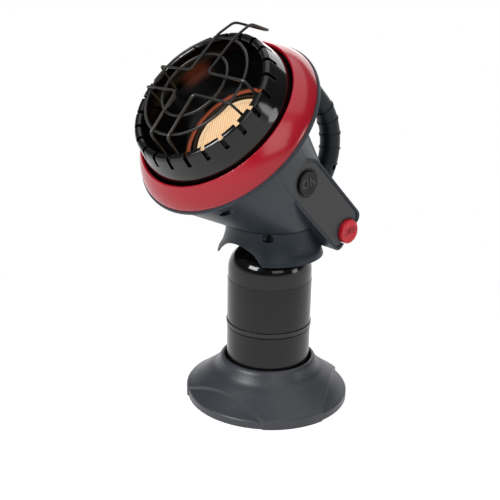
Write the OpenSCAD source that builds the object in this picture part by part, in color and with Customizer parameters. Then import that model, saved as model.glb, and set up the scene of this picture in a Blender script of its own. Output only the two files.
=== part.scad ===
// Portable propane heater: a tilted radiant head that screws onto a disposable gas cylinder,
// which stands in a moulded foot. Millimetres, +Z up. The origin is on the ground, on the axis
// that the foot and the cylinder share. The head looks towards -Y, the controls are on +X.

/* [Foot] */
// Radius of the foot at the ground
foot_r = 95.5; // [85:0.5:110]
// Height of the rim wall around the foot
foot_rim_h = 12; // [9:0.5:16]
// Height of the lip of the cylinder socket
hub_h = 50; // [42:1:60]
// Wall thickness of the foot moulding
foot_wall = 3; // [2:0.25:4]
// Distance from the axis to the straight edge of each recessed panel
panel_chord = 75; // [70:0.5:82]
// How far each panel lies below the raised skirt
panel_drop = 3; // [1.5:0.25:4]
// Direction of the first recessed panel
panel_turn = -85; // [-100:1:-70]

/* [Cylinder] */
// Outer radius of the gas cylinder
cyl_r = 48; // [45:0.25:50]
// Height of the cylinder body up to its shoulder
cyl_body_h = 152; // [140:1:165]
// Height of the domed shoulder
cyl_dome_h = 28; // [22:1:34]
// Sheet thickness of the cylinder
cyl_wall = 1.2; // [0.8:0.1:2]
// Radius of the threaded neck
neck_thread_r = 12.7; // [12:0.1:13.5]
// Height of the threaded neck above the shoulder
neck_thread_h = 15; // [12:0.5:18]
// Height of the label wrap's lower edge above the ground
label_low = 20; // [16:1:30]
// Height of the label wrap's upper edge above the ground
label_high = 146; // [120:1:150]

/* [Head] */
// Tilt of the head's axis away from vertical
head_pitch = 45.8; // [40:0.2:50]
// Height where the head's axis crosses the cylinder's axis
axis_height = 261.7; // [255:0.5:270]
// Distance from that crossing to the front lip of the bezel
lip_reach = 119.3; // [110:0.5:125]
// Radius of the housing's front flange
flange_r = 107.95; // [104:0.25:112]
// Thickness of that flange
flange_t = 4.5; // [3.5:0.25:6]
// Wall thickness of the head housing
shell_t = 2.8; // [2:0.2:3.6]

/* [Bezel and reflector] */
// Radius of the bezel's front lip
bezel_lip_r = 91.6; // [90:0.2:94]
// Radius of the bezel's rear edge
bezel_rear_r = 106.1; // [104:0.2:107.5]
// Depth of the bezel from front lip to flange
bezel_depth = 22.3; // [18:0.5:26]
// Radius of the slotted rim where it leaves the bezel
rim_base_r = 87.3; // [84:0.1:88]
// How far the slotted rim stands in front of the bezel's lip
rim_rise = 24.7; // [18:0.5:30]
// Radius of the circle that the rim's curl runs along
curl_circle_r = 76.15; // [74:0.25:78]
// Radius of the curl itself
curl_r = 4.67; // [3.5:0.1:6]
// Sheet thickness of rim and reflector
sheet_t = 1; // [0.8:0.1:1.4]
// Number of slots around the rim
slot_count = 24; // [16:1:30]
// Width of one slot
slot_w = 4.6; // [3:0.2:6]
// Radius of the flat bottom of the reflector
bowl_floor_r = 60.6; // [56:0.5:64]
// Depth of the reflector's floor behind the bezel's lip
bowl_floor_depth = 38.5; // [34:0.5:44]

/* [Burner] */
// Radius of the ceramic burner tile
tile_r = 45.5; // [40:0.5:47]
// Thickness of the tile
tile_t = 12; // [8:0.5:15]
// Outer radius of the steel cup behind the tile
plenum_r = 48.3; // [46.8:0.1:50]

/* [Wire guard] */
// Diameter of the guard's wire
wire_d = 2.8; // [2:0.1:3.6]
// Distance between the two wires of one arm
arm_w = 26.6; // [22:0.2:34]
// Distance from the bezel's lip to the middle of the guard
guard_out = 44.5; // [40:0.5:50]
// Radius of the inner ring
guard_ring_1 = 38.5; // [34:0.5:44]
// Radius of the outer ring
guard_ring_2 = 60; // [54:0.5:61]

/* [Control arm] */
// Half the width of the control arm
arm_half = 26.5; // [24:0.5:28]
// Distance from the head's middle plane to the raised border of the panel
panel_x = 61; // [58:0.5:64]
// Distance behind the bezel's lip of the ON button
on_back = 108.5; // [100:0.5:112]
// Distance behind the bezel's lip of the OFF button
off_back = 205; // [196:0.5:208]
// Radius of the ON button
on_r = 13.6; // [11:0.2:14.5]
// Radius of the OFF button
off_r = 13.8; // [11:0.2:14.5]
// Travel of the ON button
on_travel = 4; // [3:0.25:4.5]
// Travel of the OFF button
off_travel = 4; // [3:0.25:4.5]

/* [Handle] */
// Radius of the handle's grip
grip_r = 11.8; // [10:0.2:13]
// Radius of the bend in the handle
handle_bend_r = 69; // [60:0.5:74]
// Distance from the head's axis to the straight top of the handle
handle_rise = 105; // [100:0.5:110]

/* [Hidden] */
$fn = 96;

gap = 0.2;          // assembly gap between pieces that only touch
slack = 1.3;        // visible gap around a moving button
socket_gap = 2.4;   // gap between cylinder and socket
socket_floor = 4;   // thickness of the socket's floor
dome_top = socket_floor + gap + cyl_body_h + cyl_dome_h;
cyl_bottom = socket_floor + gap;
seam_z = 91.6;      // height of the seam between the cylinder's shells
neck_top = dome_top + neck_thread_h;
thread_gap = 0.3;   // radial gap of the thread, drawn as plain cylinders
neck_r = 50;        // radius of the housing's vertical neck
neck_low = 212;     // height of the neck's lower edge
drum_r = 76;        // radius of the housing's body where it leaves the flange
chin_r = 78;        // radius of its lower half there
drum_end = [52, 140];   // its radius, and how far behind the lip, where the body starts to close
drum_tail = [34, 172];  // the same for its rear face
arm_in = 34;        // inner side of the control arm
slate = [0.20, 0.22, 0.25];
skirt_slate = [0.17, 0.20, 0.23];
gloss_black = [0.03, 0.03, 0.03];
steel = [0.62, 0.62, 0.60];
brass = [0.78, 0.62, 0.30];

// ---------- frames and helpers ----------

// Frame of the head: origin in the bezel's lip, z forward along the axis, y up the face.
module at_lip() {
    translate([0, 0, axis_height]) rotate([head_pitch, 0, 0]) translate([0, 0, lip_reach])
        children();
}

// A point given in that frame, in the part's frame.
function from_lip(p) = let (z = p[2] + lip_reach)
    [p[0],
     p[1] * cos(head_pitch) - z * sin(head_pitch),
     axis_height + p[1] * sin(head_pitch) + z * cos(head_pitch)];

// A ring of rectangular section, from height a to height b.
module ring(r_out, r_in, a, b) {
    translate([0, 0, a]) difference() {
        cylinder(r = r_out, h = b - a);
        translate([0, 0, -1]) cylinder(r = r_in, h = b - a + 2);
    }
}

// Points of an arc in a profile, from angle a to angle b.
function arc(c, r, a, b, n = 12) =
    [for (i = [0:n]) c + r * [cos(a + (b - a) * i / n), sin(a + (b - a) * i / n)]];

function unit(v) = v / norm(v);

// A path with each corner rounded: every point is [position, how far the bend reaches].
function rounded(path, closed, steps = 4) = [
    for (i = [0:len(path) - 1])
        let (p = path[i][0], t = path[i][1],
             a = path[(i + len(path) - 1) % len(path)][0], b = path[(i + 1) % len(path)][0],
             bare = !closed && (i == 0 || i == len(path) - 1))
        each bare ? [p] : [
            for (k = [0:steps])
                let (f = k / steps, s = p + unit(a - p) * t, e = p + unit(b - p) * t)
                s * (1 - f) * (1 - f) + p * 2 * f * (1 - f) + e * f * f]];

// Directions across a path, carried along it without twisting.
function turned(v, t) = unit(v - t * (v * t));
function tangents(path, closed) = [
    for (i = [0:len(path) - 1])
        let (a = closed ? path[(i + len(path) - 1) % len(path)] : path[max(i - 1, 0)],
             b = closed ? path[(i + 1) % len(path)] : path[min(i + 1, len(path) - 1)])
        unit(b - a)];
function across(tan, start) = [
    for (i = 0, v = turned(start, tan[0]); i < len(tan);
         i = i + 1, v = i < len(tan) ? turned(v, tan[i]) : v)
        v];

// A round wire or tube along a path, as one polyhedron.
module swept(path, d, closed = false, sides = 8, start = [0, 0, 1]) {
    n = len(path);
    tan = tangents(path, closed);
    side = across(tan, start);
    points = [
        for (i = [0:n - 1], k = [0:sides - 1])
            let (w = cross(tan[i], side[i]), a = 360 * k / sides)
            path[i] + d / 2 * (side[i] * cos(a) + w * sin(a))];
    wall = [
        for (i = [0:n - (closed ? 1 : 2)], k = [0:sides - 1])
            let (j = (i + 1) % n, m = (k + 1) % sides)
            each [[i * sides + k, j * sides + k, j * sides + m],
                  [i * sides + k, j * sides + m, i * sides + m]]];
    ends = closed ? [] : [[for (k = [0:sides - 1]) k],
                          [for (k = [sides - 1:-1:0]) (n - 1) * sides + k]];
    polyhedron(points = points, faces = [for (f = concat(wall, ends)) [f[2], f[1], f[0],
        each (len(f) > 3 ? [for (k = [len(f) - 1:-1:3]) f[k]] : [])]]);
}

// Points of a helix along x, used by the button springs.
function helix(x0, x1, r, turns, per_turn = 8) = [
    for (i = [0:turns * per_turn])
        [x0 + (x1 - x0) * i / (turns * per_turn), r * cos(360 * i / per_turn),
         r * sin(360 * i / per_turn)]];

// A pan-head screw along z: the head's seat is at 0, the shank runs down.
module screw(head_r, head_h, shank_r, shank_h) {
    difference() {
        union() {
            cylinder(r = head_r, h = head_h);
            translate([0, 0, -shank_h]) cylinder(r = shank_r, h = shank_h + 0.1);
        }
        translate([-head_r, -0.4, head_h - 0.7]) cube([2 * head_r, 0.8, 1]);
        translate([-0.4, -head_r, head_h - 0.7]) cube([0.8, 2 * head_r, 1]);
    }
}

// ---------- foot ----------

hub_out = cyl_r + socket_gap + foot_wall;
// Height of the foot's outer skin above the ground at the radii that shape it.
skirt = [[foot_r, 0], [foot_r, foot_rim_h - 1.5], [foot_r - 1, foot_rim_h],
         [foot_r - 6, foot_rim_h + 3], [foot_r - 14, foot_rim_h + 9],
         [foot_r - 20, foot_rim_h + 13.5], [foot_r - 26, foot_rim_h + 18.5],
         [hub_out + 8.5, hub_h - 14], [hub_out + 4.5, hub_h - 7.5], [hub_out + 2, hub_h - 2.5],
         [hub_out, hub_h - 0.6], [hub_out - 1.2, hub_h]];

module skirt_solid(drop, trim) {
    rotate_extrude() polygon(concat([[0, 0]],
        [for (p = skirt) [p[0] - trim, max(0, p[1] - (p[1] > 0 ? drop : 0))]],
        [[0, hub_h - drop]]));
}

// Straight-edged sectors, one per recessed panel.
module panel_sectors() {
    for (k = [0:2]) rotate([0, 0, panel_turn + 120 * k])
        translate([panel_chord, -foot_r, -1]) cube([foot_r, 2 * foot_r, hub_h + 2]);
}

module foot() {
    rib_low = 1.5;
    color(slate) difference() {
        skirt_solid(0, 0);
        difference() {
            panel_sectors();
            skirt_solid(panel_drop, 1.5);
        }
        // socket for the cylinder, with a bevelled mouth
        translate([0, 0, socket_floor]) cylinder(r = cyl_r + socket_gap, h = hub_h);
        translate([0, 0, hub_h - 1.5])
            cylinder(r1 = cyl_r + socket_gap, r2 = cyl_r + socket_gap + 1.5, h = 1.6);
        // hollow underside, left with ribs
        difference() {
            translate([0, 0, -1]) rotate_extrude() polygon([
                [hub_out, 0], [foot_r - 1.5 - foot_wall, 0],
                [foot_r - 1.5 - foot_wall, foot_rim_h - panel_drop - foot_wall],
                [foot_r - 15, foot_rim_h + 8 - panel_drop - foot_wall],
                [foot_r - 26, foot_rim_h + 17 - panel_drop - foot_wall],
                [hub_out + 4, hub_h - 22], [hub_out, hub_h - 16]]);
            for (a = [0:30:330]) rotate([0, 0, a + 5])
                translate([hub_out - 1, -1, rib_low]) cube([foot_r - hub_out, 2, hub_h]);
        }
        // drain hole in the socket's floor
        translate([0, 0, -1]) cylinder(r = 6, h = socket_floor + 2);
    }
    // pads that centre the cylinder in the socket
    color(slate) for (a = [30:120:270]) rotate([0, 0, a]) intersection() {
        translate([cyl_r - 1, -5, socket_floor - 0.1]) cube([socket_gap + 2, 10, 26]);
        ring(cyl_r + socket_gap + 0.5, cyl_r + 0.6, 0, hub_h);
    }
}

// ---------- gas cylinder ----------

dome_r0 = 20;       // radius of the flat top of the dome
// Outer profile of the shoulder, from the cylinder wall up to the flat top.
function shoulder(inset) = [
    for (i = [0:10]) let (a = 90 * i / 10)
        [dome_r0 + (cyl_r - dome_r0 - inset) * cos(a),
         dome_top - cyl_dome_h + (cyl_dome_h - inset) * sin(a)]];

module cylinder_lower_shell() {
    r = cyl_r;
    color(gloss_black) rotate_extrude() polygon([
        [0, cyl_bottom + 7], [26, cyl_bottom + 4], [40, cyl_bottom], [r - 4, cyl_bottom],
        [r - 1, cyl_bottom + 2], [r, cyl_bottom + 6], [r, seam_z - 4], [r + 1.3, seam_z - 2.5],
        [r + 1.3, seam_z + 2.5], [r + 0.15, seam_z + 2.5], [r + 0.15, seam_z - 1.5],
        [r - cyl_wall, seam_z - 3.5], [r - cyl_wall, cyl_bottom + 7],
        [r - 5, cyl_bottom + 2], [40, cyl_bottom + 2], [26, cyl_bottom + 6],
        [0, cyl_bottom + 9]]);
}

relief_x = 27;
relief_r = 4.2;

module cylinder_upper_shell() {
    r = cyl_r;
    color(gloss_black) difference() {
        rotate_extrude() polygon(concat(
            [[r, seam_z - 1]], shoulder(0),
            [[neck_thread_r + 4, dome_top], [neck_thread_r + 4, dome_top - cyl_wall]],
            [for (i = [10:-1:0]) shoulder(cyl_wall)[i]],
            [[r - cyl_wall, seam_z - 1]]));
        translate([relief_x, 0, dome_top - 12]) cylinder(r = relief_r + 0.1, h = 20);
    }
}

module cylinder_label() {
    // the wrap stands on each side of the seam and stops short of it
    color([0.10, 0.10, 0.11]) {
        ring(cyl_r + 0.35, cyl_r + 0.05, label_low, seam_z - 4.6);
        ring(cyl_r + 0.35, cyl_r + 0.05, seam_z + 3, label_high);
    }
}

module cylinder_valve_boss() {
    color(steel) difference() {
        union() {
            translate([0, 0, dome_top - cyl_wall - 5]) cylinder(r = neck_thread_r + 3.8, h = 5 + cyl_wall + 1);
            translate([0, 0, dome_top]) cylinder(r = neck_thread_r - thread_gap, h = neck_thread_h - 1);
            translate([0, 0, neck_top - 1])
                cylinder(r1 = neck_thread_r - thread_gap, r2 = neck_thread_r - 1.3, h = 1);
        }
        translate([0, 0, dome_top - 20]) cylinder(r = 4, h = neck_thread_h + 21);
        translate([0, 0, neck_top - 6]) cylinder(r = 8, h = 7);
    }
}

module cylinder_valve_core() {
    color(brass) {
        translate([0, 0, dome_top - 4]) cylinder(r = 4 - 0.05, h = neck_thread_h - 4);
        translate([0, 0, dome_top + neck_thread_h - 8.1]) cylinder(r = 1.4, h = 5);
    }
}

module cylinder_relief_valve() {
    color(brass) translate([relief_x, 0, 0]) {
        translate([0, 0, dome_top - 8]) cylinder(r = relief_r, h = 11);
        translate([0, 0, dome_top + 2.9]) cylinder(r = relief_r - 1.4, h = 3);
    }
}

// ---------- gas inlet and regulator ----------

washer_t = 2.4;
inlet_low = dome_top + 2;
inlet_seat = neck_top + washer_t + 0.2;
inlet_high = inlet_seat + 3;
reg_low = inlet_high + 3;
reg_h = 22;
reg_r = 24;

module seal_washer() {
    color([0.05, 0.05, 0.05]) ring(neck_thread_r - 1.5, 8.2, neck_top + 0.1, neck_top + 0.1 + washer_t);
}

module inlet_fitting() {
    color(brass) {
        difference() {
            union() {
                translate([0, 0, inlet_low]) cylinder(r = neck_thread_r + 4, h = inlet_high - inlet_low);
                translate([0, 0, inlet_high - 0.1]) cylinder(r = 12, h = 3.1);
                translate([0, 0, inlet_high - 9]) cylinder(r = neck_thread_r + 6.5, h = 9, $fn = 6);
            }
            translate([0, 0, inlet_low - 1]) cylinder(r = neck_thread_r, h = inlet_seat - inlet_low + 1);
            translate([0, 0, inlet_low]) cylinder(r = 1.4, h = 40);
        }
        // pin that opens the cylinder's valve
        ring(2.2, 1.4, neck_top - 2.6, inlet_seat + 1);
    }
}

module regulator_body() {
    color([0.66, 0.66, 0.68]) difference() {
        union() {
            translate([0, 0, reg_low]) cylinder(r = reg_r, h = reg_h * 0.55);
            // ears that rest on the blocks inside the neck
            for (m = [0, 1]) mirror([m, 0, 0]) translate([15, -40, 215.7]) cube([7, 28, 2.5]);
            translate([0, -30, reg_low + 5]) rotate([-90, 0, 0]) cylinder(r = 4.5, h = 12);
        }
        translate([0, 0, reg_low + 8]) cylinder(r = reg_r - 3, h = reg_h);
        translate([0, 0, reg_low - 1]) cylinder(r = 1.5, h = 12);
        translate([0, -31, reg_low + 5]) rotate([-90, 0, 0]) cylinder(r = 2, h = 31);
    }
}

module regulator_diaphragm() {
    color([0.08, 0.08, 0.08])
        translate([0, 0, reg_low + reg_h * 0.55 + 0.1]) cylinder(r = reg_r, h = 1.2);
}

module regulator_cover() {
    z = reg_low + reg_h * 0.55 + 1.4;
    color([0.66, 0.66, 0.68]) difference() {
        union() {
            translate([0, 0, z]) cylinder(r = reg_r, h = 3);
            translate([0, 0, z + 2.9]) cylinder(r1 = 20, r2 = 14, h = 5);
        }
        translate([0, 0, z - 1]) cylinder(r = 12, h = 6);
    }
}

// ---------- head housing ----------

bezel_screw_at = [30, 150, 210, 330];   // directions of the bezel's screws
rim_screw_at = [-10, 55, 125, 190];     // directions of the rim's screws
shell_front = -(bezel_depth + gap);
shell_cone = shell_front - flange_t;
// Solid inside the housing's outer skin: a smooth skin pulled from the flange to the neck.
module housing_body(inset, front) {
    ring_z = shell_cone + 0.43;
    h = front - ring_z;
    intersection() {
        translate([-150, -250, neck_low - (inset < 0 ? 0.2 : 0)]) cube([300, 400, 300]);
        hull() {
            at_lip() translate([0, 0, ring_z]) cylinder(r = drum_r - inset, h = h, $fn = 64);
            at_lip() translate([0, chin_r + 3.5 - flange_r, ring_z])
                cylinder(r = chin_r - inset, h = h, $fn = 64);
            at_lip() translate([0, 0, -drum_end[1]]) cylinder(r = drum_end[0] - inset, h = 1, $fn = 64);
            at_lip() translate([0, 0, inset - drum_tail[1]])
                cylinder(r = drum_tail[0] - inset, h = 1, $fn = 64);
            translate([0, 0, neck_low]) cylinder(r = neck_r - inset, h = 4, $fn = 64);
        }
    }
    if (inset > 0) translate([0, 0, neck_low - 1]) cylinder(r = neck_r - inset - 0.1, h = 4);
}

module flange_disc() {
    at_lip() rotate_extrude() polygon([
        [0, shell_front], [flange_r - 1, shell_front], [flange_r, shell_front - 1],
        [flange_r, shell_cone + 1.2], [flange_r - 1.2, shell_cone], [0, shell_cone]]);
}

// Solid of the control arm, drawn by its outline and pulled out along x.
module arm_solid(inset, x_low, x_high) {
    half = arm_half - inset;
    back = off_back + 6 - inset;
    corner = 9;
    at_lip() translate([x_low, 0, 0]) rotate([0, 90, 0]) linear_extrude(x_high - x_low) union() {
        translate([on_back, 0]) circle(r = half);
        translate([on_back, -half]) square([back - on_back - corner, 2 * half]);
        translate([on_back, -half + corner]) square([back - on_back, 2 * (half - corner)]);
        for (s = [-1, 1]) translate([back - corner, s * (half - corner)]) circle(r = corner);
    }
}

module button_hole(back, r) {
    at_lip() translate([20, 0, -back]) rotate([0, 90, 0]) cylinder(r = r, h = 60);
}

// Axes of the screws that clamp the two halves: [y, z, side the head is on].
clamps = [[-107.6, 251.9, 1], [10.9, 329.3, 1], [38, 228, -1]];
clamp_seat = 8;     // distance of each head's seat from the seam

// A cylinder along x, from x0 to x1, on the axis [y, z].
module along_x(yz, r, x0, x1) {
    translate([x0, yz[0], yz[1]]) rotate([0, 90, 0]) cylinder(r = r, h = x1 - x0);
}

// Bosses for the clamping screws, as far as the housing's skin.
module clamp_bosses(side) {
    intersection() {
        for (c = clamps) along_x(c, c[2] == side ? 6.5 : 4.5, side > 0 ? 0 : -90, side > 0 ? 90 : 0);
        housing_body(0, shell_cone + 1);
    }
}

module clamp_holes(side) {
    for (c = clamps) if (c[2] == side) {
        along_x(c, 4.5, side > 0 ? clamp_seat : -100, side > 0 ? 100 : -clamp_seat);
        along_x(c, 1.7, -clamp_seat - 1, clamp_seat + 1);
    } else along_x(c, 1.55, -11, 11);
}

// Block inside the skirt that its screw bites into.
skirt_screw = [-37.5, 207];
module skirt_block(grow) {
    intersection() {
        translate([14 - grow, -43 - grow, 202 - grow])
            cube([11 + 2 * grow, 10 + 2 * grow, 13.5 + 2 * grow]);
        cylinder(r = neck_r - 1.4 + grow, h = 300);
    }
}

// Half space on one side of the head's middle plane.
module side_box(side) {
    translate([side > 0 ? 0 : -200, -250, 0]) cube([200, 500, 500]);
}

module housing_half(side) {
    color(slate) intersection() {
        difference() {
            union() {
                difference() {
                    union() {
                        flange_disc();
                        housing_body(0, shell_cone + 1);
                        if (side > 0) arm_solid(0, arm_in, panel_x);
                    }
                    housing_body(shell_t, shell_front + 1);
                    if (side > 0) arm_solid(shell_t, arm_in + shell_t, panel_x - shell_t - 1.2);
                }
                clamp_bosses(side);
                mirror([side > 0 ? 0 : 1, 0, 0]) skirt_block(0);
            }
            clamp_holes(side);
            mirror([side > 0 ? 0 : 1, 0, 0]) along_x(skirt_screw, 1.55, 13, 28);
            if (side > 0) {
                // recessed face of the panel
                arm_solid(2.6, panel_x - 1.2, panel_x + 20);
                button_hole(on_back, on_r + slack);
                button_hole(off_back, off_r + 0.8);
            }
            // holes for the bezel's screws and the rim's screws
            at_lip() for (a = bezel_screw_at) rotate([0, 0, a])
                translate([97.5, 0, shell_cone - 1]) cylinder(r = 1.8, h = flange_t + 2);
            at_lip() for (a = rim_screw_at) rotate([0, 0, a])
                translate([rim_base_r + 3.2, 0, shell_cone - 1]) cylinder(r = 1.35, h = flange_t + 2);
        }
        side_box(side);
    }
}

module housing_left() { housing_half(-1); }
module housing_right() { housing_half(1); }

skirt_low = 177;
skirt_flare = 60;
arch_r = 45;
arch_z = 150;

module neck_skirt() {
    t = 2.4;
    top = neck_low - gap;
    outer = [[neck_r + 0.4, top], [neck_r + 0.8, top - 8], [neck_r + 2.4, top - 16],
             [neck_r + 5, top - 24], [skirt_flare - 1.5, skirt_low + 5], [skirt_flare, skirt_low]];
    plug_r = neck_r - shell_t - 2 * gap;
    color(skirt_slate) difference() {
        union() {
            rotate(20) rotate_extrude() polygon(concat(outer,
                [for (i = [len(outer) - 1:-1:0]) [outer[i][0] - t, outer[i][1]]]));
            // inner rib that plugs into the neck
            rotate(50) rotate_extrude() polygon([
                [plug_r - 2.4, top - 5], [neck_r - 1.5, top - 5], [neck_r - 1.5, top],
                [plug_r, top], [plug_r, top + 3.5], [plug_r - 2.4, top + 3.5]]);
            // bosses that its screws sit in
            for (m = [0, 1]) mirror([m, 0, 0]) intersection() {
                along_x(skirt_screw, 6.5, 25.3, 50);
                cylinder(r = neck_r + 0.5, h = top);
            }
        }
        translate([0, -100, arch_z]) rotate([-90, 0, 0]) cylinder(r = arch_r, h = 200);
        for (m = [0, 1]) mirror([m, 0, 0]) {
            skirt_block(gap);
            along_x(skirt_screw, 4.5, 29, 60);
            along_x(skirt_screw, 1.7, 20, 30);
        }
        // the control arm passes outside
        arm_solid(-0.4, arm_in - 0.4, panel_x + 20);
    }
}

// ---------- handle ----------

handle_top_back = 118;   // where the straight top turns into the bend
rib_angles = [8, 22, 36, 50, 64];
// screws that hold its two halves together: [up the face, along the axis]
handle_clamps = [[62.6, -183.7], [105, -60]];

module handle_path(r, rib) {
    at_lip() rotate([0, -90, 0]) rotate([0, 0, 90]) {
        // here x runs up the face and y runs back from the lip
        translate([handle_rise, -shell_cone - 1, 0]) rotate([-90, 0, 0])
            cylinder(r = r, h = handle_top_back + shell_cone + 1.02);
        translate([handle_rise - handle_bend_r, handle_top_back, 0])
            rotate_extrude(angle = 128) translate([handle_bend_r, 0]) circle(r = r);
        if (rib > 0) for (a = rib_angles)
            translate([handle_rise - handle_bend_r, handle_top_back, 0]) rotate([0, 0, a])
                translate([handle_bend_r, -1.1, 0]) rotate([-90, 0, 0]) cylinder(r = r + rib, h = 2.2);
    }
}

module handle_half(side) {
    color(slate) intersection() {
        difference() {
            handle_path(grip_r, 0.9);
            difference() {
                handle_path(grip_r - 3, 0);
                for (c = handle_clamps) at_lip() along_x(c, 5.2, -20, 20);
            }
            housing_form();
            // the top of its front end slopes down to the flange
            at_lip() rotate_extrude() polygon([
                [flange_r - 0.5, shell_cone + 1], [150, shell_cone + 1], [150, shell_cone - 15],
                [handle_rise + grip_r + 1, shell_cone - 15]]);
            for (c = handle_clamps) at_lip() {
                if (side > 0) {
                    along_x(c, 3.4, 3, 20);
                    along_x(c, 1.7, -1, 4);
                } else along_x(c, 1.55, -8, 1);
            }
        }
        side_box(side);
    }
}

// The housing's outer form, a little larger, which the handle's ends are cut to.
module housing_form() {
    at_lip() translate([0, 0, shell_cone - gap]) cylinder(r = flange_r + 30, h = 60);
    housing_body(-gap, shell_cone + 1);
    translate([0, 0, skirt_low]) cylinder(r = neck_r + 0.8, h = neck_low - skirt_low + 1);
}

module handle_left() { handle_half(-1); }
module handle_right() { handle_half(1); }

// ---------- bezel, rim and reflector ----------

module red_bezel() {
    back = -bezel_depth;
    t = 2.4;
    bulge = [for (i = [0:8]) let (f = i / 8)
        [bezel_lip_r + 0.9 + (bezel_rear_r - bezel_lip_r - 0.9) * f + 1.6 * sin(180 * f), back * 0.93 * f]];
    color([0.62, 0.03, 0.08]) at_lip() difference() {
        union() {
            rotate_extrude() polygon(concat(
                [[bezel_lip_r - 1.2, -6], [bezel_lip_r - 1.2, -1], [bezel_lip_r, 0]], bulge,
                [[bezel_rear_r, back], [bezel_rear_r - t, back]],
                [for (i = [8:-1:1]) bulge[i] - [t, 0.4]],
                [[bezel_lip_r + 1.2, -4], [bezel_lip_r + 0.8, -6]]));
            for (a = bezel_screw_at) rotate([0, 0, a]) intersection() {
                translate([97.5, 0, back]) cylinder(r = 3.6, h = 13);
                rotate_extrude() polygon([[90, back], [bezel_rear_r - 1, back], [97, -6], [90, -6]]);
            }
        }
        for (a = bezel_screw_at) rotate([0, 0, a])
            translate([97.5, 0, back - 1]) cylinder(r = 1.3, h = 11);
    }
}

slot_turn = -2.5;   // direction of the first slot
slot_depth = 7.5;   // how far the slots run down the rim's outer wall

module slotted_rim() {
    top = rim_rise;
    c = [curl_circle_r, top];
    outer = concat([[rim_base_r, -bezel_depth], [rim_base_r, -2], [rim_base_r - 0.4, 3]],
                   arc(c, curl_r, 10, 150, 10));
    inner = concat([[rim_base_r - sheet_t, -bezel_depth], [rim_base_r - sheet_t, -2],
                    [rim_base_r - 0.4 - sheet_t, 3]],
                   arc(c, curl_r - sheet_t, 10, 150, 10));
    n = len(inner);
    color(gloss_black) at_lip() difference() {
        union() {
            rotate_extrude() polygon(concat(outer, [for (i = [n - 1:-1:0]) inner[i]]));
            ring(rim_base_r + 5.7, rim_base_r - 0.5, -bezel_depth, -bezel_depth + 1.2);
        }
        for (k = [0:slot_count - 1]) rotate([0, 0, 360 * k / slot_count + slot_turn])
            translate([curl_circle_r - 8, -slot_w / 2, top - slot_depth]) cube([30, slot_w, 40]);
        for (a = rim_screw_at) rotate([0, 0, a])
            translate([rim_base_r + 3.2, 0, -bezel_depth - 1]) cylinder(r = 1.7, h = 4);
    }
}

// Windows for the pilot burner, the thermocouple and the electrode: [x, y, radius].
windows = [[-18, -(plenum_r + 6), 4.5], [-9, -(plenum_r + 5), 2.4], [8, -(plenum_r + 7), 4.2]];
// Inner surface of the reflector, from its floor up to its rolled edge.
bowl_edge_r = 79.3;     // where the curved wall turns into the lining of the rim
bowl_edge_z = -1;
lining_top = rim_rise - 9.2;
function bowl(f) = [bowl_floor_r + (bowl_edge_r - bowl_floor_r) * pow(f, 0.85),
                    -bowl_floor_depth + 1.5 + (bowl_edge_z + bowl_floor_depth - 1.5) * f];

module reflector_bowl() {
    wall = [for (i = [0:10]) bowl(i / 10)];
    lining_r = bowl_edge_r + 1.5;
    color(gloss_black) at_lip() difference() {
        rotate_extrude() polygon(concat(
            [[plenum_r + 2.4, -bowl_floor_depth], [bowl_floor_r - 1.5, -bowl_floor_depth]], wall,
            [[lining_r, lining_top], [lining_r + sheet_t, lining_top]],
            [for (i = [10:-1:0]) wall[i] + [sheet_t, -0.3]],
            [[bowl_floor_r - 1, -bowl_floor_depth - sheet_t],
             [plenum_r + 2.4, -bowl_floor_depth - sheet_t]]));
        // windows for the pilot burner, the thermocouple and the spark electrode
        for (w = windows) translate([w[0], w[1], -bowl_floor_depth - 3]) cylinder(r = w[2], h = 6);
    }
}

// ---------- wire guard ----------

guard_up = 3;       // how far the guard's middle lies above the head's axis
foot_z = -4;        // height of the guard's feet along the axis
foot_r0 = bowl((foot_z + bowl_floor_depth - 1.5) / (bowl_edge_z + bowl_floor_depth - 1.5))[0]
    - wire_d / 2 - 0.3;     // radius at which the feet meet the reflector
arm_bend_r = 64;
half_w = arm_w / 2;
// Height of the cross at a distance along an arm.
function guard_z(along) = guard_out - 3.5 * (along - half_w) / (arm_bend_r - half_w);
foot_w = half_w - 4;    // half the width of a foot
// How far along its arm a foot lies, so that its outer corner just meets the reflector.
side_foot = sqrt(foot_r0 * foot_r0 - pow(foot_w + guard_up, 2));
low_foot = sqrt(foot_r0 * foot_r0 - foot_w * foot_w) + guard_up;
// One arm of the cross, pointing up the face: [across, along, out] and the reach of each bend.
function long_arm() = [
    [[half_w, half_w, guard_out], 5], [[half_w, 62, guard_z(62)], 5],
    [[half_w - 1, 85, guard_out - 11], 6], [[4, 102.5, 2.8], 5], [[-4, 102.5, 2.8], 5],
    [[1 - half_w, 85, guard_out - 11], 6], [[-half_w, 62, guard_z(62)], 5]];
function short_arm(foot) = [
    [[half_w, half_w, guard_out], 5], [[half_w, arm_bend_r, guard_z(arm_bend_r)], 4],
    [[half_w - 2, 70.5, 1], 4], [[foot_w, foot, foot_z], 3],
    [[-foot_w, foot, foot_z], 3], [[2 - half_w, 70.5, 1], 4],
    [[-half_w, arm_bend_r, guard_z(arm_bend_r)], 4]];
function guard_arm(k) = k == 0 ? long_arm() : short_arm(k == 2 ? low_foot : side_foot);
function spun(p, a) = [p[0] * cos(a) - p[1] * sin(a), p[0] * sin(a) + p[1] * cos(a), p[2]];
// The closed outline: the arms one after the other, each turned a quarter from the last.
guard_path = rounded([
    for (k = [0:3], q = guard_arm(k)) [spun(q[0], 90 * k) + [0, guard_up, 0], q[1]]], true);

module guard_wire() {
    color([0.12, 0.11, 0.11]) at_lip() swept(guard_path, wire_d, closed = true);
}

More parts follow.
